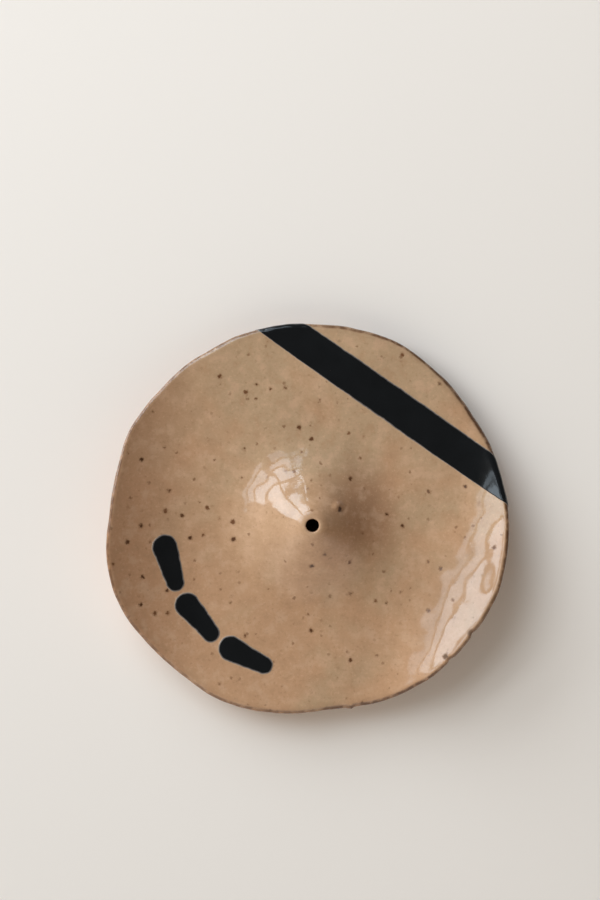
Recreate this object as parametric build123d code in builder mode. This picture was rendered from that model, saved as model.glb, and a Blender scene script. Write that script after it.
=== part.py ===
"""Incense stick holder: a hand-built stoneware dish whose floor rises to a pierced cone in the middle.

Millimetres and degrees. +Z is up along the stick hole, and the origin lies on the table at the middle of
the foot. Azimuths run anticlockwise from +X. The dish is shaped as it is by hand: a slab pressed into a
mould with a flat floor and two sides that rise, and cut round. The clay, the clear glaze over it and each
mark of black glaze are separate solids that meet face to face.
"""
import os
from math import asin, atan2, cos, degrees, radians, sin, sqrt, tan

from build123d import *

# Stick hole
hole_radius = 1.8
hole_depth = 12.5
mouth_bevel = 0.3

# Cone that the hole goes down: its height, the land round the hole on its crown, its radius on the floor, and
# how it flares into the floor
crown_height = 18.0
crown_land = 1.3
crown_rounding = 1.5
cone_radius = 19.4
cone_flare = 25.0

# Slab: its floor and wall, and the two sides of the mould: which way each rises, where it folds up, how round
# that fold is, and their slope
floor_thickness = 7.0
wall = 5.0
left_azimuth = 180.0
left_fold_distance = 42.0
left_fold_radius = 43.0
right_azimuth = -25.0
right_fold_distance = 38.2
right_fold_radius = 38.0
side_slope = 30.0

# Rim: reach of the cut from the hole, how far the hand strayed from it at equal steps of azimuth from +X,
# and the bevel wiped along the two corners that it left
rim_radius = 54.6
rim_strays = (-1.0, -1.0, -0.5, 0.8, 0.7, 1.1, 1.4, 1.4, 1.2, 2.5, 0.6, 0.0, -2.8, -2.1, -1.7, -0.9)
corner_bevel = 1.5

# Bare foot: a low disc, as deep as the floor is thicker than the wall
foot_radius = 27.0
foot_chamfer = 0.5

# Glaze: a clear skin that stops at the foot, and black marks that stand a little proud of it
glaze_thickness = 0.4
black_thickness = 0.55

# Broad black stripe across the dish: how far in from the rim its middle line runs, its width there and at
# the rim
stripe_azimuth = 55.0
stripe_inset = 14.6
stripe_width = 9.5
stripe_end_width = 7.5

# Black dashes along the rim: each a brush dab, in from the rim, that starts wide and ends narrow, and the gap
# that sets each off from the next
dash_count = 3
dash_middle_azimuth = 220.0
dash_inset = 13.6
dash_length = 10.0
dash_start_radius = 3.4
dash_end_radius = 2.4
dash_gap = 1.249

# Forming and cutting solids: how far they reach past the dish, and how deep the cone is sunk in the floor
overrun = 12.0
cut_height = 40.0
cone_sink = 0.05

os.makedirs("parts", exist_ok=True)

# Mould, its flat floor at z = 0
with BuildPart() as mould:
    mould_reach = rim_radius + overrun
    for azimuth, fold_distance, fold_radius in (
        (left_azimuth, left_fold_distance, left_fold_radius),
        (right_azimuth, right_fold_distance, right_fold_radius),
    ):
        with BuildSketch(Plane.XZ.rotated((0, 0, azimuth))) as mould_profile:
            with BuildLine():
                Polyline(
                    (-mould_reach, 0),
                    (fold_distance, 0),
                    (mould_reach, (mould_reach - fold_distance) * tan(radians(side_slope))),
                    (mould_reach, -cut_height),
                    (-mould_reach, -cut_height),
                    close=True,
                )
            make_face()
            fillet(mould_profile.vertices().sort_by_distance((fold_distance, 0))[0], radius=fold_radius)
        extrude(amount=mould_reach, both=True)


def dish(skin):
    """Pressed and cut slab with the cone on it, its surface a distance of skin outside the clay."""
    rim_points = []
    for place, stray in enumerate(rim_strays):
        azimuth = radians(360 * place / len(rim_strays))
        reach = rim_radius + stray + skin
        rim_points.append((reach * cos(azimuth), reach * sin(azimuth)))

    with BuildPart() as body:
        with BuildSketch():
            with BuildLine():
                Spline(*rim_points, periodic=True)
            make_face()
        extrude(amount=cut_height)
        with Locations((0, 0, floor_thickness + skin)):
            add(mould.part, mode=Mode.INTERSECT)
        with Locations((0, 0, floor_thickness - wall - skin)):
            add(mould.part, mode=Mode.SUBTRACT)
        cut_face = body.faces().sort_by(lambda face: abs(face.normal_at().Z))[0]
        corners = cut_face.edges().filter_by(Axis.Z, reverse=True)
        chamfer(corners, length=corner_bevel + skin * (2 - sqrt(2)))

        with BuildSketch(Plane.XZ) as cone_profile:
            slope = atan2(crown_height - floor_thickness, cone_radius - hole_radius - crown_land)
            base = floor_thickness + skin - cone_sink
            base_radius = cone_radius + skin / sin(slope) - (skin - cone_sink) / tan(slope)
            crown = crown_height + skin
            crown_radius = base_radius - (crown - base) / tan(slope)
            sole_radius = base_radius + cone_flare * tan(slope / 2) + wall
            with BuildLine():
                Polyline(
                    (0, crown),
                    (crown_radius, crown),
                    (base_radius, base),
                    (sole_radius, base),
                    (sole_radius, base - wall / 2),
                    (0, base - wall / 2),
                    close=True,
                )
            make_face()
            crown_corner = cone_profile.vertices().sort_by_distance((crown_radius, crown))[0]
            fillet(crown_corner, radius=crown_rounding + skin)
            base_corner = cone_profile.vertices().sort_by_distance((base_radius, base))[0]
            fillet(base_corner, radius=cone_flare - skin)
        revolve(axis=Axis.Z)
    return body.part


bare_dish = dish(0)
glazed_dish = dish(glaze_thickness)
blackened_dish = dish(black_thickness)
mouth_height = crown_height + glaze_thickness

# Undrilled clay: the dish on its foot
with BuildPart() as clay:
    with BuildSketch():
        Circle(foot_radius)
    extrude(amount=floor_thickness - wall / 2)
    chamfer(clay.edges().group_by(Axis.Z)[0], length=foot_chamfer)
    add(bare_dish)

# Stoneware body
with BuildPart() as stoneware_body:
    add(clay.part)
    with Locations((0, 0, mouth_height)):
        Hole(radius=hole_radius, depth=hole_depth)
stoneware_body.part.label = "stoneware_body"
export_step(stoneware_body.part, "parts/stoneware_body.step")

# Ground of the stripe: a prism over its outline, on the upper side of the wall's middle
with BuildPart() as stripe_ground:
    with BuildSketch():
        with BuildLine(Plane.XY.rotated((0, 0, stripe_azimuth))):
            stripe_distance = rim_radius - stripe_inset
            end = rim_radius + overrun
            sides = []
            for side in (-1, 1):
                end_distance = stripe_distance + side * stripe_end_width / 2
                sides.append(
                    ThreePointArc(
                        (end_distance, -end),
                        (stripe_distance + side * stripe_width / 2, 0),
                        (end_distance, end),
                    )
                )
            Line(sides[0] @ 0, sides[1] @ 0)
            Line(sides[0] @ 1, sides[1] @ 1)
        make_face()
    extrude(amount=cut_height)
    with Locations((0, 0, floor_thickness - wall / 2)):
        add(mould.part, mode=Mode.SUBTRACT)

# Ground of each dash, in the same way, with their middles on a circle and a pitch apart
dash_distance = rim_radius - dash_inset
dash_pitch = dash_length + dash_start_radius + dash_end_radius + dash_gap
dash_step = 2 * degrees(asin(dash_pitch / (2 * dash_distance)))
dash_grounds = []
for place in range(dash_count):
    azimuth = dash_middle_azimuth + (place - (dash_count - 1) / 2) * dash_step
    with BuildPart() as dash_ground:
        with BuildSketch(Plane.XY.rotated((0, 0, azimuth))):
            with Locations((dash_distance, -dash_length / 2)):
                Circle(dash_start_radius)
            with Locations((dash_distance, dash_length / 2)):
                Circle(dash_end_radius)
            make_hull()
        extrude(amount=cut_height)
        with Locations((0, 0, floor_thickness - wall / 2)):
            add(mould.part, mode=Mode.SUBTRACT)
    dash_grounds.append(dash_ground.part)

# Clear glaze over everything but the foot, with a window for each black mark
with BuildPart() as clear_glaze:
    add(glazed_dish)
    add(clay.part, mode=Mode.SUBTRACT)
    with Locations((0, 0, mouth_height)):
        Hole(radius=hole_radius, depth=hole_depth)
    mouth = clear_glaze.edges().filter_by(GeomType.CIRCLE).sort_by_distance((0, 0, mouth_height))[0]
    chamfer(mouth, length=mouth_bevel)
    for ground in (stripe_ground.part, *dash_grounds):
        add(ground, mode=Mode.SUBTRACT)
clear_glaze.part.label = "clear_glaze"
export_step(clear_glaze.part, "parts/clear_glaze.step")

# Black glaze stripe, over the face from rim to rim
with BuildPart() as black_stripe:
    add(blackened_dish)
    add(stripe_ground.part, mode=Mode.INTERSECT)
    add(clay.part, mode=Mode.SUBTRACT)
black_stripe.part.label = "black_stripe"
export_step(black_stripe.part, "parts/black_stripe.step")

# Black glaze dashes
for number, ground in enumerate(dash_grounds, start=1):
    with BuildPart() as black_dash:
        add(blackened_dish)
        add(ground, mode=Mode.INTERSECT)
        add(clay.part, mode=Mode.SUBTRACT)
    black_dash.part.label = f"black_dash_{number}"
    export_step(black_dash.part, f"parts/black_dash_{number}.step")
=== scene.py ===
"""Incense stick holder: a hand-built stoneware dish with a pierced cone, dressed for rendering.

Lengths are in millimetres and become metres where meshes are made. Places inside the materials, the floor and
the window are in metres. Azimuths run anticlockwise from +X. The upper face of the dish is one function of x
and y, and the glaze, the clay under it and the black marks are all built on that function.
"""
from math import asin, atan2, cos, pi, radians, sin, tan

import bmesh
import bpy
import numpy as np
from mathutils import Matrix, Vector, noise


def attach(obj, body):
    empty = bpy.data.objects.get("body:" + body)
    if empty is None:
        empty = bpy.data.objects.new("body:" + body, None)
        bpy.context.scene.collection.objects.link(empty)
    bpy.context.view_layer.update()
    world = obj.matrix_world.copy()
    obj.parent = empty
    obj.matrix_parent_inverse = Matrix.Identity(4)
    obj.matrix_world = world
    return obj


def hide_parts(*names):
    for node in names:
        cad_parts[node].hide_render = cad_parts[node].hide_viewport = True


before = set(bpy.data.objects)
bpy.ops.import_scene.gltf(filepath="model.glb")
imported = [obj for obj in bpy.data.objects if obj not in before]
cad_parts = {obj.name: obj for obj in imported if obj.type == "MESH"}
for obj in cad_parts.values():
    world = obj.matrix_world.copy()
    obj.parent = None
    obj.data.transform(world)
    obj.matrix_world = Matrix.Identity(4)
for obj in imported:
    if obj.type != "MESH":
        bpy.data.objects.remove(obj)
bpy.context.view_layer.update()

MM = 0.001

# Form of the clay, as in the solids, with softer roundings on the crown and the cut
hole_radius = 1.8
hole_floor = 5.9
floor_thickness = 7.0
wall = 5.0
crown_rise = 11.0
crown_radius = 3.1
crown_rounding = 4.0
cone_radius = 19.4
cone_slope = atan2(crown_rise, cone_radius - crown_radius)
cone_flare = 25.0
side_slope = radians(30)
rim_radius = 54.6
rim_strays = (-1.0, -1.0, -0.5, 0.8, 0.7, 1.1, 1.4, 1.4, 1.2, 2.5, 0.6, 0.0, -2.8, -2.1, -1.7, -0.9)
rim_rounding = 1.4
foot_radius = 27.0
foot_chamfer = 0.5
glaze_thickness = 0.4

# Sides as (azimuth that each rises towards, distance and radius of its fold)
sides = (
    (180, 42.0, 43.0),
    (-25, 38.2, 38.0),
)

# Lean of the cone: which way, how far as a share of its radius, and the distances over which it sets in
lean_azimuth = radians(140)
lean_share = 0.05
lean_range = (4.0, 14.0)

# Lifts of the rim as (azimuth, half width in degrees, lift, distance where it starts)
rim_lifts = (
    (135, 26, 0.6, 30.0),
    (268, 24, 0.4, 38.0),
    (18, 13, 1.15, 36.0),
    (-64, 13, -1.0, 36.0),
)

# Bumps and dents as (x, y, radius, height), and how steeply they fall off within their radius
bumps = (
    (6.9, 5.2, 1.9, 0.75),
    (8.5, 4.1, 1.2, -0.3),
)
bump_fall = 1.6

# Nicks and a nub on the cut edge as (azimuth, half width in degrees, reach)
rim_nicks = (
    (326.0, 0.9, -0.5),
    (315.7, 0.9, -0.4),
    (281.8, 0.8, 0.5),
)

# Ripples left by the hand as (height, size, seed)
face_ripples = (
    (0.5, 21.0, 1.7),
    (0.15, 8.0, 5.9),
    (0.045, 3.2, 9.2),
)
flank_ripple = (0.11, 4.6, 12.4)
right_ripple = (0.16, 6.4, 14.8)
underside_ripple = (0.5, 13.0, 21.3)

# Those that run round a circle of radius 1: on the cut, on its rounding as a share of it, and on the foot
cut_ripples = (
    (0.35, 0.2, 4.3),
    (0.12, 0.07, 8.1),
)
rounding_ripple = (0.45, 0.3, 3.1)
foot_ripple = (0.12, 0.25, 2.2)

# Distances over which the ripples come in or fade out, and the middle and half width of the right side
face_range = (3.0, 12.0)
flank_start = (4.0, 9.0)
flank_end = (26.0, 20.0)
right_start = (34.0, 42.0)
right_sector = (-25, 45)
underside_start = (34.0, 48.0)
underside_joins = (foot_radius, 40.0)

# Dark iron spots as (x, y, radius)
iron_spots = (
    (7.6, 4.3, 0.8),
    (43.6, -29.6, 1.2),
    (36.6, -36.2, 0.9),
)

# Rings of the meshes: vertices in each, distances of those over the face, and how far out they stay round
segments = 420
fine_steps = np.concatenate([np.linspace(2.4, 12.0, 30), np.linspace(12.4, 52.0, 100)])
coarse_steps = np.concatenate([np.linspace(2.4, 6.0, 6), np.linspace(7.5, 51.5, 34)])
fine_arc = np.linspace(0, 1, 11)
coarse_arc = np.linspace(0, 1, 5)
underside_shares = np.linspace(0, 1, 34)[1:]
round_within = 30.0

# Rounding of the cut: how tightly its curve holds to the corner, and its length in roundings
corner_hold = 0.45
corner_arc = 1.5


def smoothstep(low, high, value):
    """Smooth rise from 0 at low to 1 at high."""
    t = np.clip((value - low) / (high - low), 0, 1)
    return t * t * (3 - 2 * t)


def ripple(x, y, height, size, seed):
    """Smooth noise of about that height either way, with features of that size."""
    x, y = np.broadcast_arrays(x, y)
    flat = [
        noise.noise(Vector((a / size + seed, b / size - 2 * seed, 3 * seed)))
        for a, b in zip(x.ravel(), y.ravel())
    ]
    return height * np.array(flat).reshape(x.shape)


def hump(azimuth, centre, half_width):
    """Share that is 1 at a centre in degrees and falls off to either side of it."""
    turn_away = (np.degrees(azimuth) - centre + 180) % 360 - 180
    return np.exp(-(turn_away / half_width) ** 2)


def reach(azimuth):
    """Distance of the cut edge of the clay from the hole."""
    count = len(rim_strays)
    waves = np.fft.rfft(rim_strays) / count
    total = np.full(np.shape(azimuth), waves[0].real)
    for order in range(1, len(waves)):
        share = 1 if order == count // 2 else 2
        total = total + share * (waves[order] * np.exp(1j * order * azimuth)).real
    wobble = 0.0
    for values in cut_ripples:
        wobble = wobble + ripple(np.cos(azimuth), np.sin(azimuth), *values)
    for centre, half_width, depth in rim_nicks:
        wobble = wobble + depth * hump(azimuth, centre, half_width)
    return rim_radius + total + wobble


def side_lift(x, y):
    """Height of the pressed sides over the flat floor."""
    lift = 0.0
    for azimuth, fold_distance, fold_radius in sides:
        out = x * cos(radians(azimuth)) + y * sin(radians(azimuth))
        start = fold_distance - fold_radius * tan(side_slope / 2)
        end = start + fold_radius * sin(side_slope)
        along = np.clip(out - start, 0, end - start)
        arc = fold_radius - np.sqrt(fold_radius**2 - along**2)
        lift = np.maximum(lift, arc + np.maximum(out - end, 0) * tan(side_slope))
    return lift


def cone_rise(x, y):
    """Height of the cone over the floor, flared at its foot and rounded at its crown."""
    r = np.hypot(x, y)
    r = r * (1 - lean_share * np.cos(np.arctan2(y, x) - lean_azimuth) * smoothstep(*lean_range, r))
    tangent = cone_flare * tan(cone_slope / 2)
    flare_end = cone_radius + tangent
    flare_start = cone_radius - tangent * cos(cone_slope)
    straight = (cone_radius - r) * tan(cone_slope)
    inside = np.clip(flare_end - r, 0, flare_end - flare_start)
    flare = cone_flare - np.sqrt(cone_flare**2 - inside**2)
    crown_tangent = crown_rounding * tan(cone_slope / 2)
    crown_start = crown_radius - crown_tangent
    crown_end = crown_radius + crown_tangent * cos(cone_slope)
    along = np.clip(r - crown_start, 0, crown_end - crown_start)
    crown = crown_rise - crown_rounding + np.sqrt(crown_rounding**2 - along**2)
    rise = np.where(r < flare_start, straight, flare)
    return np.where(r < crown_end, crown, rise)


def unevenness(x, y):
    """How far the hand-made surface strays from the plain form."""
    r = np.hypot(x, y)
    azimuth = np.arctan2(y, x)
    stray = 0.0
    for centre, half_width, lift, start in rim_lifts:
        share = np.maximum(r - start, 0) / (rim_radius - start)
        stray = stray + lift * hump(azimuth, centre, half_width) * share**2
    for values in face_ripples:
        stray = stray + ripple(x, y, *values)
    stray = stray * smoothstep(*face_range, r)
    flank = smoothstep(*flank_start, r) * smoothstep(*flank_end, r)
    right = smoothstep(*right_start, r) * hump(azimuth, *right_sector)
    return stray + flank * ripple(x, y, *flank_ripple) + right * ripple(x, y, *right_ripple)


def top(x, y):
    """Height of the clay's upper face."""
    height = floor_thickness + side_lift(x, y) + cone_rise(x, y) + unevenness(x, y)
    for bump_x, bump_y, radius, rise in bumps:
        away_squared = (x - bump_x) ** 2 + (y - bump_y) ** 2
        height = height + rise * np.exp(-away_squared / (radius / bump_fall) ** 2)
    return height


def underside(x, y):
    """Height of the clay's lower face."""
    r = np.hypot(x, y)
    rise = side_lift(x, y) + unevenness(x, y) * smoothstep(*underside_joins, r)
    stray = ripple(x, y, *underside_ripple) * smoothstep(*underside_start, r)
    return floor_thickness - wall + rise + stray


def bezier(start, first, second, end, t):
    """Point at t on a cubic curve."""
    return (
        start * (1 - t) ** 3
        + first * 3 * t * (1 - t) ** 2
        + second * 3 * t**2 * (1 - t)
        + end * t**3
    )


class Section:
    """Outer face of the dish at a set of azimuths, a distance of skin outside the clay."""

    def __init__(self, azimuth, skin):
        self.skin = skin
        self.cosine = np.cos(azimuth)
        self.sine = np.sin(azimuth)
        self.edge = reach(azimuth) + skin
        self.rounding = rim_rounding * (1 + ripple(self.cosine, self.sine, *rounding_ripple))
        self.shoulder = self.edge - self.rounding

    def point(self, r, z):
        return np.stack([r * self.cosine, r * self.sine, z + 0 * r], axis=-1)

    def upper(self, r):
        return top(r * self.cosine, r * self.sine) + self.skin

    def lower(self, r):
        return underside(r * self.cosine, r * self.sine) - self.skin

    def corner(self, face, sign, t):
        """Distance and height on the rounding of the cut, t from 0 on a face to 1 on the upright."""
        near = 1 - corner_hold
        start = self.shoulder
        z_start = face(start)
        z_corner = face(self.edge)
        z_end = z_corner - sign * self.rounding
        r = bezier(start, start + self.rounding * near, self.edge, self.edge, t)
        z = bezier(
            z_start,
            z_start + (z_corner - z_start) * near,
            z_end + sign * self.rounding * near,
            z_end,
            t,
        )
        return r, z


def piece(name, vertices, faces, node, material, floats):
    """Mesh object in metres that rides on the dish and stands for one of its solids."""
    mesh = bpy.data.meshes.new(name)
    mesh.from_pydata([tuple(v) for v in np.asarray(vertices) * MM], [], faces)
    for key, values in floats.items():
        attribute = mesh.attributes.new(key, "FLOAT", "POINT")
        attribute.data.foreach_set("value", np.asarray(values, dtype=np.float32))
    work = bmesh.new()
    work.from_mesh(mesh)
    bmesh.ops.recalc_face_normals(work, faces=work.faces)
    work.to_mesh(mesh)
    work.free()
    mesh.shade_smooth()
    mesh.materials.append(material)
    thing = bpy.data.objects.new(name, mesh)
    bpy.context.scene.collection.objects.link(thing)
    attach(thing, "root")
    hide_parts(node)


def bands(first_ring, second_ring, count):
    """Quads between two rings of vertices, given by their first numbers."""
    return [
        (first_ring + k, first_ring + (k + 1) % count, second_ring + (k + 1) % count, second_ring + k)
        for k in range(count)
    ]


# Materials
def shader(name):
    """New material, short ways to add its nodes, and its main shader."""
    material = bpy.data.materials.new(name)
    material.use_nodes = True
    tree = material.node_tree
    return material, Nodes(tree), tree.nodes["Principled BSDF"]


class Nodes:
    """Short ways to add and join shader nodes."""

    def __init__(self, tree):
        self.tree = tree

    def add(self, kind, **settings):
        node = self.tree.nodes.new(kind)
        for key, value in settings.items():
            setattr(node, key, value)
        return node

    def feed(self, socket, value):
        if isinstance(value, bpy.types.NodeSocket):
            self.tree.links.new(value, socket)
        else:
            socket.default_value = value

    def coordinate(self, output):
        return self.add("ShaderNodeTexCoord").outputs[output]

    def axes(self, vector):
        """The x and y of a vector."""
        node = self.add("ShaderNodeSeparateXYZ")
        self.feed(node.inputs[0], vector)
        return node.outputs["X"], node.outputs["Y"]

    def math(self, operation, first, second=0.0, clamp=False):
        node = self.add("ShaderNodeMath", operation=operation, use_clamp=clamp)
        self.feed(node.inputs[0], first)
        self.feed(node.inputs[1], second)
        return node.outputs[0]

    def vector(self, operation, first, second):
        node = self.add("ShaderNodeVectorMath", operation=operation)
        self.feed(node.inputs[0], first)
        self.feed(node.inputs[1], second)
        return node.outputs["Value"] if operation == "DISTANCE" else node.outputs[0]

    def scaled(self, vector, factor):
        node = self.add("ShaderNodeVectorMath", operation="SCALE")
        self.feed(node.inputs[0], vector)
        self.feed(node.inputs["Scale"], factor)
        return node.outputs[0]

    def ramp(self, value, low, high, start=0.0, end=1.0):
        """Smooth change from a start, where the value is low, to an end, where it is high."""
        node = self.add("ShaderNodeMapRange", interpolation_type="SMOOTHSTEP")
        for socket, amount in zip(node.inputs, (value, low, high, start, end)):
            self.feed(socket, amount)
        return node.outputs[0]

    def around(self, place, middle, near, far, share):
        """Share at a middle that fades out between two distances from it, all in metres."""
        return self.ramp(self.vector("DISTANCE", place, middle), near, far, share, 0.0)

    def mix(self, share, first, second, blend="MIX"):
        node = self.add("ShaderNodeMix", data_type="RGBA", blend_type=blend)
        self.feed(node.inputs[0], share)
        self.feed(node.inputs[6], first)
        self.feed(node.inputs[7], second)
        return node.outputs[2]

    def noise(self, vector, size, detail=2.0, roughness=0.5, output="Fac"):
        """Noise with features of about that size in millimetres."""
        node = self.add("ShaderNodeTexNoise")
        self.feed(node.inputs["Vector"], vector)
        node.inputs["Scale"].default_value = 1 / (size * MM)
        node.inputs["Detail"].default_value = detail
        node.inputs["Roughness"].default_value = roughness
        return node.outputs[output]

    def cells(self, vector, size):
        """Cells of a size in millimetres: distance to the middle, two random numbers, the middle's place."""
        node = self.add("ShaderNodeTexVoronoi")
        self.feed(node.inputs["Vector"], vector)
        node.inputs["Scale"].default_value = 1 / (size * MM)
        distance = self.math("MULTIPLY", node.outputs["Distance"], size)
        parts = self.add("ShaderNodeSeparateColor")
        self.feed(parts.inputs[0], node.outputs["Color"])
        return distance, parts.outputs[0], parts.outputs[1], node.outputs["Position"]

    def past(self, distance, luck, low, high, least, most):
        """How far a distance is past a radius that grows with luck, in millimetres."""
        return self.math("SUBTRACT", distance, self.ramp(luck, low, high, least, most))

    def attribute(self, key):
        return self.add("ShaderNodeAttribute", attribute_name=key).outputs["Fac"]

    def bump(self, height, strength, distance, onto=None):
        node = self.add("ShaderNodeBump")
        node.inputs["Strength"].default_value = strength
        node.inputs["Distance"].default_value = distance * MM
        self.feed(node.inputs["Height"], height)
        if onto is not None:
            self.feed(node.inputs["Normal"], onto)
        return node.outputs[0]


def clay_through_glaze(n, place):
    """Colour of the clay seen through the glaze: clouds, greyer to one side, painted light and shade on the
    flanks of the cone, blotches and a fine grain.
    """
    tan_clay = (0.448, 0.276, 0.163, 1)
    grey_clay = (0.410, 0.288, 0.178, 1)
    # Cooler, slightly paler tan for the lit flank of the cone: painted light
    lit_tan = (0.43, 0.29, 0.178, 1)
    # Darker brown for the dark flank of the cone: a brown cast with painted shade
    brown_cast_and_painted_shade = (0.315, 0.172, 0.096, 1)
    rosy_clay = (0.432, 0.25, 0.146, 1)
    pale_blotch = (0.505, 0.335, 0.218, 1)
    deep_blotch = (0.375, 0.232, 0.135, 1)
    dark_grain = (0.28, 0.165, 0.09, 1)
    light_grain = (0.57, 0.38, 0.245, 1)
    cloud_size = 15.0
    blotch_size = 4.0
    grain_size = 0.8

    # Flanks of the cone as (middle, distances between which their tint fades out, its share): painted light,
    # a cooler and slightly paler tint, on the lit flank, and painted shade with a brown cast on the dark
    # flank
    lit_flank = ((-0.012, 0.0, 0.012), 0.006, 0.024, 0.6)
    dark_flank = ((0.0135, 0.004, 0.012), 0.005, 0.019, 0.55)

    x, y = n.axes(place)
    greyer = n.math("MULTIPLY", n.ramp(y, -0.02, 0.05, -0.3, 0.35), 0.45)
    cloud = n.math("ADD", n.noise(place, cloud_size, 3.0), greyer)
    blotch = n.noise(place, blotch_size, 3.0, 0.6)
    grain = n.noise(place, grain_size, 4.0, 0.65)
    colour = n.mix(n.ramp(cloud, 0.34, 0.66), tan_clay, grey_clay)
    # Painted light on the lit flank of the cone, then a brown cast with painted shade on its dark flank
    colour = n.mix(n.around(place, *lit_flank), colour, lit_tan)
    colour = n.mix(n.around(place, *dark_flank), colour, brown_cast_and_painted_shade)
    colour = n.mix(n.ramp(x, -0.05, -0.02, 0.75, 0.0), colour, rosy_clay)
    colour = n.mix(n.ramp(blotch, 0.48, 0.70, 0.0, 0.65), colour, pale_blotch)
    colour = n.mix(n.ramp(blotch, 0.50, 0.30, 0.0, 0.5), colour, deep_blotch)
    colour = n.mix(n.ramp(grain, 0.54, 0.72, 0.0, 0.36), colour, dark_grain)
    return n.mix(n.ramp(grain, 0.46, 0.30, 0.0, 0.36), colour, light_grain)


def iron_specks(n, place, colour):
    """Colour with iron specks and burnt spots over it, and shares of the dark specks and of the spots."""
    faint_rust = (0.16, 0.076, 0.037, 1)
    halo_rust = (0.24, 0.125, 0.063, 1)
    speck_brown = (0.15, 0.066, 0.031, 1)
    speck_black = (0.062, 0.027, 0.013, 1)
    burnt_iron = (0.055, 0.027, 0.015, 1)
    faint_pitch = 2.5
    speck_pitch = 3.6
    shake_size = 0.7
    shake_reach = 1.0

    # Where the dark specks crowd, as (middle, distances between which that fades out, its share)
    speckled_side = ((-0.034, 0.004, 0.008), 0.008, 0.026, 0.3)

    shake = n.vector("SUBTRACT", n.noise(place, shake_size, output="Color"), (0.5, 0.5, 0.5))
    shaken = n.vector("ADD", place, n.scaled(shake, shake_reach * MM))

    # Faint small ones
    near, luck, other_luck, _ = n.cells(shaken, faint_pitch)
    faint = n.ramp(n.past(near, luck, 0.2, 1.0, 0.0, 0.48), -0.25, 0.2, 1.0, 0.0)
    strength = n.ramp(other_luck, 0.0, 1.0, 0.2, 0.7)
    colour = n.mix(n.math("MULTIPLY", faint, strength), colour, faint_rust)

    # Dark ones with a rusty halo
    near, luck, other_luck, middle = n.cells(shaken, speck_pitch)
    crowd = n.around(middle, *speckled_side)
    over = n.past(near, n.math("ADD", luck, crowd), 0.25, 1.1, -0.15, 0.74)
    speck = n.ramp(over, -0.3, 0.12, 0.95, 0.0)
    colour = n.mix(n.ramp(over, -0.2, 0.5, 0.5, 0.0), colour, halo_rust)
    colour = n.mix(speck, colour, n.mix(other_luck, speck_brown, speck_black))

    # Burnt spots
    burnt = 0.0
    for spot_x, spot_y, radius in iron_spots:
        spot_z = float(top(np.array(spot_x), np.array(spot_y))) + glaze_thickness
        away = n.vector("DISTANCE", shaken, (spot_x * MM, spot_y * MM, spot_z * MM))
        spot = n.ramp(n.math("DIVIDE", away, MM), 0.5 * radius, 1.3 * radius, 0.9, 0.0)
        colour = n.mix(spot, colour, burnt_iron)
        burnt = n.math("MAXIMUM", burnt, spot)
    return colour, speck, burnt


def broken_glaze(n, place, colour):
    """Colour where the glaze breaks brown on the edge, with painted shade deepening that brown and darkening
    the right side, and a painted highlight ring at the lip of the hole.
    """
    edge_brown = (0.11, 0.052, 0.025, 1)
    # Pale tan for a painted highlight ring at the lip of the hole
    painted_lip_highlight = (0.52, 0.36, 0.24, 1)
    # Darker tan for painted shade on the right side
    painted_shade_tan = (0.30, 0.20, 0.125, 1)
    patch_size = 2.6

    # Painted shade on the right side, which faces the window, as (middle, distances between which it fades
    # out, its share)
    painted_shade_side = ((0.046, -0.023, 0.014), 0.010, 0.026, 0.35)

    x, _ = n.axes(place)
    patchy = n.ramp(n.noise(place, patch_size, 3.0, 0.6), 0.30, 0.62, 0.35, 1.0)
    broken = n.math("MULTIPLY", n.attribute("rim"), patchy)
    # The brown break grows stronger to the right: partly real glaze break, partly painted shade where the cut
    # edge faces away from the window
    browner_with_painted_shade = n.ramp(x, -0.01, 0.03, 0.85, 1.25)
    colour = n.mix(n.math("MULTIPLY", broken, browner_with_painted_shade, clamp=True), colour, edge_brown)
    # Painted highlight ring at the lip of the hole
    colour = n.mix(n.math("MULTIPLY", n.attribute("lip"), 0.4), colour, painted_lip_highlight)
    # Painted shade darkens the right side
    return n.mix(n.around(place, *painted_shade_side), colour, painted_shade_tan)


def glaze_material():
    """Glossy amber glaze over speckled clay, matt on the burnt spots and on the specks of the right side."""
    amber = (1.14, 1.0, 0.91, 1)
    gloss_size = 9.0
    ripple_size = 1.5
    refraction = 1.44

    material, n, out = shader("glazed_speckled_stoneware")
    place = n.coordinate("Object")
    colour, speck, burnt = iron_specks(n, place, clay_through_glaze(n, place))
    colour = broken_glaze(n, place, colour)
    n.feed(out.inputs["Base Color"], n.mix(1.0, colour, amber, "MULTIPLY"))
    x, _ = n.axes(place)
    gloss = n.ramp(n.noise(place, gloss_size), 0.3, 0.7, 0.05, 0.10)
    pitted = n.math("MULTIPLY", speck, n.ramp(x, 0.02, 0.035, 0.0, 0.6))
    matt = n.math("MAXIMUM", n.math("MULTIPLY", burnt, 0.9), pitted)
    n.feed(out.inputs["Roughness"], n.math("MAXIMUM", gloss, matt))
    out.inputs["IOR"].default_value = refraction
    rippled = n.bump(n.noise(place, ripple_size), 0.10, 0.10)
    n.feed(out.inputs["Normal"], n.bump(n.math("MULTIPLY", speck, -1.0), 0.25, 0.08, rippled))
    return material


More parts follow.
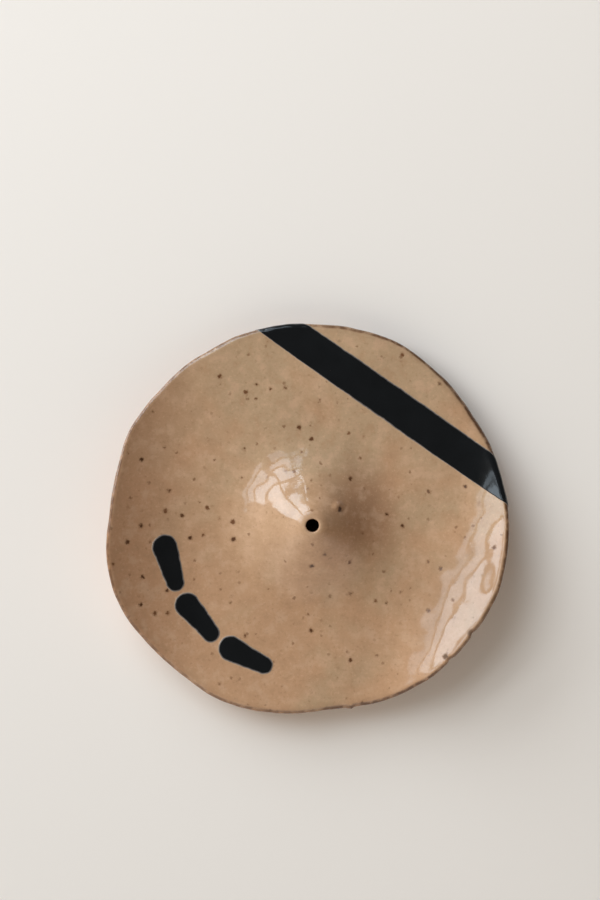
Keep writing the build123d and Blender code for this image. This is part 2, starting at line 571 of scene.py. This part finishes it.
def black_material():
    """Glossy black glaze with pinholes, thin at its edge."""
    deep_black = (0.006, 0.006, 0.0062, 1)
    soft_black = (0.0095, 0.0095, 0.0098, 1)
    pinhole_brown = (0.05, 0.035, 0.025, 1)
    fringe_tan = (0.456, 0.30, 0.196, 1)
    fringe_grey = (0.16, 0.13, 0.114, 1)
    cloud_size = 6.0
    pinhole_pitch = 2.6
    wander_size = 1.4
    wander_reach = 0.35
    ripple_size = 1.6
    refraction = 1.46

    material, n, out = shader("black_glaze_gloss")
    place = n.coordinate("Object")
    cloud = n.noise(place, cloud_size, 3.0)
    colour = n.mix(cloud, deep_black, soft_black)
    near, luck, _, _ = n.cells(place, pinhole_pitch)
    pinhole = n.ramp(n.past(near, luck, 0.55, 1.0, 0.0, 0.2), -0.1, 0.02, 0.5, 0.0)
    colour = n.mix(pinhole, colour, pinhole_brown)
    wander = n.math("MULTIPLY", n.math("SUBTRACT", n.noise(place, wander_size), 0.5), wander_reach)
    inset = n.math("ADD", n.attribute("edge"), wander)
    fringe = n.mix(n.ramp(inset, 0.05, 0.3), fringe_tan, fringe_grey)
    n.feed(out.inputs["Base Color"], n.mix(n.ramp(inset, 0.25, 0.6), fringe, colour))
    n.feed(out.inputs["Roughness"], n.ramp(cloud, 0.3, 0.7, 0.07, 0.13))
    out.inputs["IOR"].default_value = refraction
    n.feed(out.inputs["Normal"], n.bump(n.noise(place, ripple_size), 0.1, 0.1))
    return material


def clay_material():
    """Bare fired clay, matt and speckled, darker in the hole."""
    buff = (0.536, 0.31, 0.173, 1)
    pale_buff = (0.604, 0.35, 0.20, 1)
    dark_grain = (0.30, 0.18, 0.10, 1)
    speck_black = (0.07, 0.035, 0.02, 1)
    hole_red = (0.20, 0.075, 0.04, 1)
    cloud_size = 12.0
    grain_size = 0.5
    speck_pitch = 3.0

    material, n, out = shader("bare_fired_clay")
    place = n.coordinate("Object")
    grain = n.noise(place, grain_size, 4.0, 0.7)
    colour = n.mix(n.ramp(n.noise(place, cloud_size, 3.0), 0.35, 0.65), buff, pale_buff)
    colour = n.mix(n.ramp(grain, 0.52, 0.75, 0.0, 0.5), colour, dark_grain)
    near, luck, _, _ = n.cells(place, speck_pitch)
    speck = n.ramp(n.past(near, luck, 0.3, 1.0, -0.1, 0.5), -0.12, 0.08, 0.9, 0.0)
    colour = n.mix(speck, colour, speck_black)
    n.feed(out.inputs["Base Color"], n.mix(n.attribute("bore"), colour, hole_red))
    n.feed(out.inputs["Roughness"], n.ramp(grain, 0.3, 0.7, 0.72, 0.9))
    n.feed(out.inputs["Normal"], n.bump(grain, 0.5, 0.15))
    return material


glaze = glaze_material()
black = black_material()
clay = clay_material()

# How brown the glaze breaks: on the face within a reach of the cut, and where along t on the corners of it
face_brown = 0.1
brown_reach = 1.2
brown_from = 0.1
brown_fade = (0.6, 1.0)

# Upper and lower corner as (most, t where it is full, how much of it fades on the upright)
upper_brown = (0.9, 0.42, 0.55)
lower_brown = (0.5, 0.5, 0.2)


def browning(t, most, full, fade):
    """How brown the glaze breaks on a corner, t from 0 on the face to 1 on the cut."""
    gain = most * smoothstep(brown_from, full, t)
    loss = fade * smoothstep(*brown_fade, t)
    return np.full(segments, face_brown + gain - loss)


def crossing(section, steps, arc_steps):
    """Rings from near the hole over the edge to the foot, and how brown the glaze breaks on each."""
    rings, brown = [], []
    for distance in steps:
        r = np.full(segments, distance)
        if distance > round_within:
            share = (distance - round_within) / (steps[-1] - round_within)
            r = round_within + share * (section.shoulder - round_within)
        rings.append(section.point(r, section.upper(r)))
        brown.append(smoothstep(brown_reach, 0.0, section.shoulder - r) * face_brown)
    for t in arc_steps[1:]:
        rings.append(section.point(*section.corner(section.upper, 1, t)))
        brown.append(browning(t, *upper_brown))
    for t in arc_steps[::-1]:
        rings.append(section.point(*section.corner(section.lower, -1, t)))
        brown.append(browning(t, *lower_brown))
    for share in underside_shares:
        r = section.shoulder + share * (foot_radius - section.shoulder)
        rings.append(section.point(r, section.lower(r)))
        brown.append(np.zeros(segments))
    return rings, brown


def near_hole(rings, far, close):
    """Share for each vertex of some rings: 0 far from the axis of the hole, 1 close to it."""
    return [smoothstep(far, close, np.hypot(ring[:, 0], ring[:, 1])) for ring in rings]


# Glaze over and under the dish
turn = np.linspace(0, 2 * pi, segments, endpoint=False)
glaze_section = Section(turn, glaze_thickness)
outer, outer_brown = crossing(glaze_section, fine_steps, fine_arc)
inner, inner_brown = crossing(Section(turn, 0.0), coarse_steps, coarse_arc)

# Lip of the hole
lip_radius = 0.4
lip_fade = (3.2, 2.3)
lip_turn = 75
lip_steps = 6
crown_z = floor_thickness + crown_rise
lip_z = crown_z + glaze_thickness - lip_radius
lip = [glaze_section.point(np.full(segments, hole_radius), crown_z)]
for angle in np.radians(np.linspace(0, lip_turn, lip_steps)):
    r = np.full(segments, hole_radius + lip_radius * (1 - cos(angle)))
    lip.append(glaze_section.point(r, lip_z + lip_radius * sin(angle)))

shell = lip + outer + inner[::-1]
shell_brown = [np.zeros(segments)] * len(lip) + outer_brown + inner_brown[::-1]
shell_lip = [np.ones(segments)] * len(lip) + near_hole(outer + inner[::-1], *lip_fade)
faces = []
for k in range(len(shell)):
    faces += bands(k * segments, ((k + 1) % len(shell)) * segments, segments)
piece(
    "speckled_glaze",
    np.concatenate(shell),
    faces,
    "clear_glaze",
    glaze,
    {"rim": np.concatenate(shell_brown), "lip": np.concatenate(shell_lip)},
)

# Clay under it, a gap inside the glaze, with the hole and the bare foot
gap = 0.03
bore_steps = 12
bore_lobes = 3
bore_stray = 0.04
bore_dip = 0.2
bore_fade = (3.0, 2.4)
foot_inset = 0.05
foot_top = 2.0
foot_edge = 20.0
foot_arc_steps = 5
sole_inset = 1.2
sole_middle = 1.0
sole_steps = 16
clay_section = Section(turn, -gap)
clay_rings, _ = crossing(clay_section, coarse_steps, coarse_arc)
body = []
for z in np.linspace(hole_floor, crown_z - gap, bore_steps):
    body.append(clay_section.point(hole_radius + bore_stray * np.sin(bore_lobes * turn + z), z))
bore = [np.ones(segments)] * len(body) + near_hole(clay_rings, *bore_fade)
body += clay_rings
foot_side = foot_radius - foot_inset
foot_profile = [(foot_side, foot_top), (foot_side, foot_chamfer)]
for angle in np.radians(np.linspace(0, 90, foot_arc_steps)):
    foot_profile.append((foot_side - foot_chamfer * (1 - cos(angle)), foot_chamfer * (1 - sin(angle))))
for r in np.linspace(foot_radius - sole_inset, sole_middle, sole_steps):
    foot_profile.append((r, 0.0))
foot_wobble = ripple(np.cos(turn), np.sin(turn), *foot_ripple)
for r, z in foot_profile:
    wobbly = r + foot_wobble * smoothstep(foot_edge, foot_radius, r) - foot_ripple[0] * (r > foot_edge)
    body.append(clay_section.point(wobbly, z))
    bore.append(np.zeros(segments))
poles = np.array([[0, 0, hole_floor - bore_dip], [0, 0, 0]])
faces = []
for k in range(len(body) - 1):
    faces += bands(k * segments, (k + 1) * segments, segments)
first_pole = len(body) * segments
last_ring = (len(body) - 1) * segments
for k in range(segments):
    faces.append((k, (k + 1) % segments, first_pole))
    faces.append((last_ring + (k + 1) % segments, last_ring + k, first_pole + 1))
piece(
    "clay_body",
    np.concatenate(body + [poles]),
    faces,
    "stoneware_body",
    clay,
    {"bore": np.concatenate(bore + [np.array([1.0, 0.0])])},
)

# Black marks: height of the film over the glaze, how far in it is full, and how far its edge and root sink
film_height = 0.17
film_full = 0.9
film_edge_sink = 0.015
film_root = 0.3
film_ripple = (0.03, 3.0, 6.6)

# Rings of a mark: steps in from its edge, shares of the way on to its spine, and the fringe past its outline
film_insets = (0.0, 0.12, 0.25, 0.4, 0.6, 0.85, 1.2)
film_shares = np.linspace(0, 1, 10)[1:-1]
film_middle = 3.0
most_inset = 0.9
fringe_width = 0.3

# Wander of the brush as (height, size, step of the seed)
brush_wanders = (
    (0.28, 5.0, 0),
    (0.1, 1.8, 3),
)


def on_glaze(plan, lift):
    """Points on the glaze over a plan, unrolled over the edge, raised by a lift along the normal."""

    def surface(p):
        section = Section(np.arctan2(p[:, 1], p[:, 0]), glaze_thickness)
        distance = np.hypot(p[:, 0], p[:, 1])
        arc = corner_arc * section.rounding
        beyond = distance - section.shoulder
        r_arc, z_arc = section.corner(section.upper, 1, np.clip(beyond / arc, 0, 1))
        on_top = np.minimum(distance, section.shoulder)
        r = np.where(beyond > 0, r_arc, on_top)
        z = np.where(beyond > 0, z_arc - np.maximum(beyond - arc, 0), section.upper(on_top))
        return section.point(r, z)

    step = 0.05
    along_x = surface(plan + (step, 0)) - surface(plan - (step, 0))
    along_y = surface(plan + (0, step)) - surface(plan - (0, step))
    normal = np.cross(along_x, along_y)
    normal /= np.linalg.norm(normal, axis=1)[:, None]
    return surface(plan) + normal * lift[:, None]


def mark(name, node, outline, spine, spine_of):
    """Black film inside an outline, with a rounded edge. Each outline point runs to a spine point."""
    count = len(outline)
    inner_points = spine[spine_of]
    widths = np.linalg.norm(outline - inner_points, axis=1)
    plan, depth = [], []
    for inset in film_insets:
        share = np.minimum(inset / widths, most_inset)[:, None]
        plan.append(outline + (inner_points - outline) * share)
        depth.append(np.minimum(inset, most_inset * widths))
    start, start_depth = plan[-1], depth[-1]
    for share in film_shares:
        plan.append(start + (inner_points - start) * share)
        depth.append(start_depth + share * (widths - start_depth))
    plan.append(spine)
    depth.append(np.full(len(spine), film_middle))
    plan, depth = np.concatenate(plan), np.concatenate(depth)
    swell = film_height * (1 - (1 - np.clip(depth / film_full, 0, 1)) ** 2) - film_edge_sink
    swell = swell + ripple(plan[:, 0], plan[:, 1], *film_ripple) * np.clip(depth, 0, 1)
    upper = on_glaze(plan, swell)
    lower = on_glaze(plan, np.full(len(plan), -film_root))
    total = len(plan)
    rings = len(film_insets) + len(film_shares)
    faces = []
    for base in (0, total):
        for ring in range(rings - 1):
            faces += bands(base + ring * count, base + (ring + 1) * count, count)
        last = base + (rings - 1) * count
        middle = base + rings * count
        for k in range(count):
            following = (k + 1) % count
            face = [last + k, last + following, middle + spine_of[following], middle + spine_of[k]]
            faces.append(tuple(dict.fromkeys(face)))
    faces += bands(0, total, count)
    edge = np.concatenate([depth, depth])
    piece(name, np.concatenate([upper, lower]), faces, node, black, {"edge": edge})


def turned(points, azimuth):
    """Points given outward and across at an azimuth in degrees, as x and y."""
    points = np.asarray(points)
    c, s = cos(radians(azimuth)), sin(radians(azimuth))
    return np.stack([points[:, 0] * c - points[:, 1] * s, points[:, 0] * s + points[:, 1] * c], axis=-1)


def brushed(points, seed):
    """Outline with the small wander of a brush."""
    away = points - points.mean(axis=0)
    away /= np.linalg.norm(away, axis=1)[:, None]
    wander = 0.0
    for height, size, step in brush_wanders:
        wander = wander + ripple(points[:, 0], points[:, 1], height, size, seed + step)
    return points + away * wander[:, None]


# Stripe: its middle line, its half widths in the middle and a span away, and how far it hangs down the cut
stripe_azimuth = 55.0
stripe_distance = 40.0
stripe_half = 4.75
stripe_end_half = 3.75
stripe_span = 66.6
stripe_hang = 0.4
stripe_seed = 3.3
long_steps = 130
cap_steps = 22
search_reach = 60.0
halvings = 40


def stripe_side(v, side):
    """Distance out of the line at a share of the stripe's width, from -1 to 1, at v along it."""
    half = stripe_half - (stripe_half - stripe_end_half) * (v / stripe_span) ** 2
    return stripe_distance + side * (half + fringe_width)


def stripe_end(side, way):
    """Where along the stripe a line at that share of its width comes down the cut."""
    low, high = 0.0, search_reach
    for _ in range(halvings):
        v = (low + high) / 2
        x, y = turned([(stripe_side(way * v, side), way * v)], stripe_azimuth)[0]
        section = Section(np.array([np.arctan2(y, x)]), glaze_thickness)
        limit = section.shoulder + corner_arc * section.rounding + stripe_hang
        if np.hypot(x, y) < limit[0]:
            low = v
        else:
            high = v
    return way * low


outline, spine_of = [], []
for side in (1, -1):
    for k, v in enumerate(np.linspace(stripe_end(side, -side), stripe_end(side, side), long_steps + 1)):
        outline.append((stripe_side(v, side), v))
        spine_of.append(k if side == 1 else long_steps - k)
    for k in range(1, cap_steps):
        share = side * (1 - 2 * k / cap_steps)
        v = stripe_end(share, side)
        outline.append((stripe_side(v, share), v))
        spine_of.append(long_steps if side == 1 else 0)
spine_from = max(stripe_end(side, -1) for side in (1, -1)) + stripe_half
spine_to = min(stripe_end(side, 1) for side in (1, -1)) - stripe_half
spine = [(stripe_distance, v) for v in np.linspace(spine_from, spine_to, long_steps + 1)]
mark(
    "black_band",
    "black_stripe",
    brushed(turned(outline, stripe_azimuth), stripe_seed),
    turned(spine, stripe_azimuth),
    spine_of,
)

# Dashes: azimuths, distance, half length, radii at the start and the end, and the lean of their long sides
dash_azimuths = (196.0, 220.0, 244.0)
dash_distance = 41.0
dash_half = 5.0
dash_start = 3.4
dash_end = 2.4
dash_lean = asin((dash_start - dash_end) / (2 * dash_half))
dash_seed = 7.1
side_steps = 40
bow_steps = 30


def bow_point(way, share):
    """Point on the round end of a dash, its narrow end where way is 1 and its wide one where it is -1."""
    sweep = pi + way * 2 * dash_lean
    angle = (way - 1) * pi / 2 - sweep / 2 + sweep * share
    wide = (dash_end if way == 1 else dash_start) + fringe_width
    return np.array((dash_distance - wide * sin(angle), way * dash_half + wide * cos(angle)))


outline, spine_of = [], []
for way in (1, -1):
    for k in range(bow_steps + 1):
        outline.append(bow_point(way, k / bow_steps))
        spine_of.append(side_steps if way == 1 else 0)
    leave, arrive = bow_point(way, 1), bow_point(-way, 0)
    for k in range(1, side_steps):
        outline.append(leave + (arrive - leave) * k / side_steps)
        spine_of.append(side_steps - k if way == 1 else k)
spine = [(dash_distance, -dash_half + 2 * dash_half * k / side_steps) for k in range(side_steps + 1)]
for number, azimuth in enumerate(dash_azimuths, start=1):
    mark(
        f"black_dab_{number}",
        f"black_dash_{number}",
        brushed(turned(outline, azimuth), dash_seed + number),
        turned(spine, azimuth),
        spine_of,
    )

# Plain pale floor
floor_size = 6.0
floor_colour = (0.889, 0.765, 0.673, 1)
floor_roughness = 0.9
bpy.ops.mesh.primitive_plane_add(size=floor_size)
floor = bpy.context.active_object
floor.name = "studio_floor"
paper, _, paper_shader = shader("pale_floor")
paper_shader.inputs["Base Color"].default_value = floor_colour
paper_shader.inputs["Roughness"].default_value = floor_roughness
floor.data.materials.append(paper)

# Soft surround, brighter towards -Y and -X, each glow as (from, to, least, most)
surround_colour = (0.877, 0.87, 0.813, 1)
below_glow = (-0.3, -0.75, 0.06, 1.3)
beside_glow = (-0.3, -0.75, 0.0, 0.62)
world = bpy.data.worlds.new("surround")
bpy.context.scene.world = world
world.use_nodes = True
sky = Nodes(world.node_tree)
background = world.node_tree.nodes["Background"]
background.inputs["Color"].default_value = surround_colour
sky_x, sky_y = sky.axes(sky.coordinate("Generated"))
below = sky.ramp(sky_y, *below_glow)
beside = sky.ramp(sky_x, *beside_glow)
sky.feed(background.inputs["Strength"], sky.math("ADD", below, beside))

# Window to the upper left
window_azimuth = radians(134)
window_height = radians(30)
window_away = 1.4
daylight = (0.85, 1.0, 1.13)

# Panes in metres from its middle: columns as (left, right), rows as (bottom, head, watts per square metre)
pane_columns = ((-0.84, -0.73), (-0.66, -0.045), (0.045, 0.72))
pane_rows = ((-0.56, -0.01, 23.5), (0.08, 0.34, 20.5), (0.41, 0.64, 13.5), (0.71, 0.88, 8.0))
across = Vector((-sin(window_azimuth), cos(window_azimuth), 0))
towards = Vector(
    (
        cos(window_height) * cos(window_azimuth),
        cos(window_height) * sin(window_azimuth),
        sin(window_height),
    )
)
upward = towards.cross(across)
for column, (left, right) in enumerate(pane_columns):
    for row, (bottom, head, brightness) in enumerate(pane_rows):
        lamp = bpy.data.lights.new(f"pane_{column}_{row}", "AREA")
        lamp.shape = "RECTANGLE"
        lamp.size = right - left
        lamp.size_y = head - bottom
        lamp.energy = brightness * lamp.size * lamp.size_y
        lamp.color = daylight
        pane = bpy.data.objects.new(f"pane_{column}_{row}", lamp)
        pane.location = towards * window_away + across * (left + right) / 2 + upward * (bottom + head) / 2
        pane.rotation_mode = "QUATERNION"
        pane.rotation_quaternion = towards.to_track_quat("Z", "Y")
        bpy.context.scene.collection.objects.link(pane)

# Camera: straight over the dish
camera_place = (-3.4, 20.6, 632.0)
sensor_width = 36.0
focal_length = 90.0
lens = bpy.data.cameras.new("camera")
lens.sensor_width = sensor_width
lens.lens = focal_length
camera = bpy.data.objects.new("camera", lens)
camera.location = [v * MM for v in camera_place]
bpy.context.scene.collection.objects.link(camera)
bpy.context.scene.camera = camera
bpy.context.scene.view_settings.view_transform = "Standard"
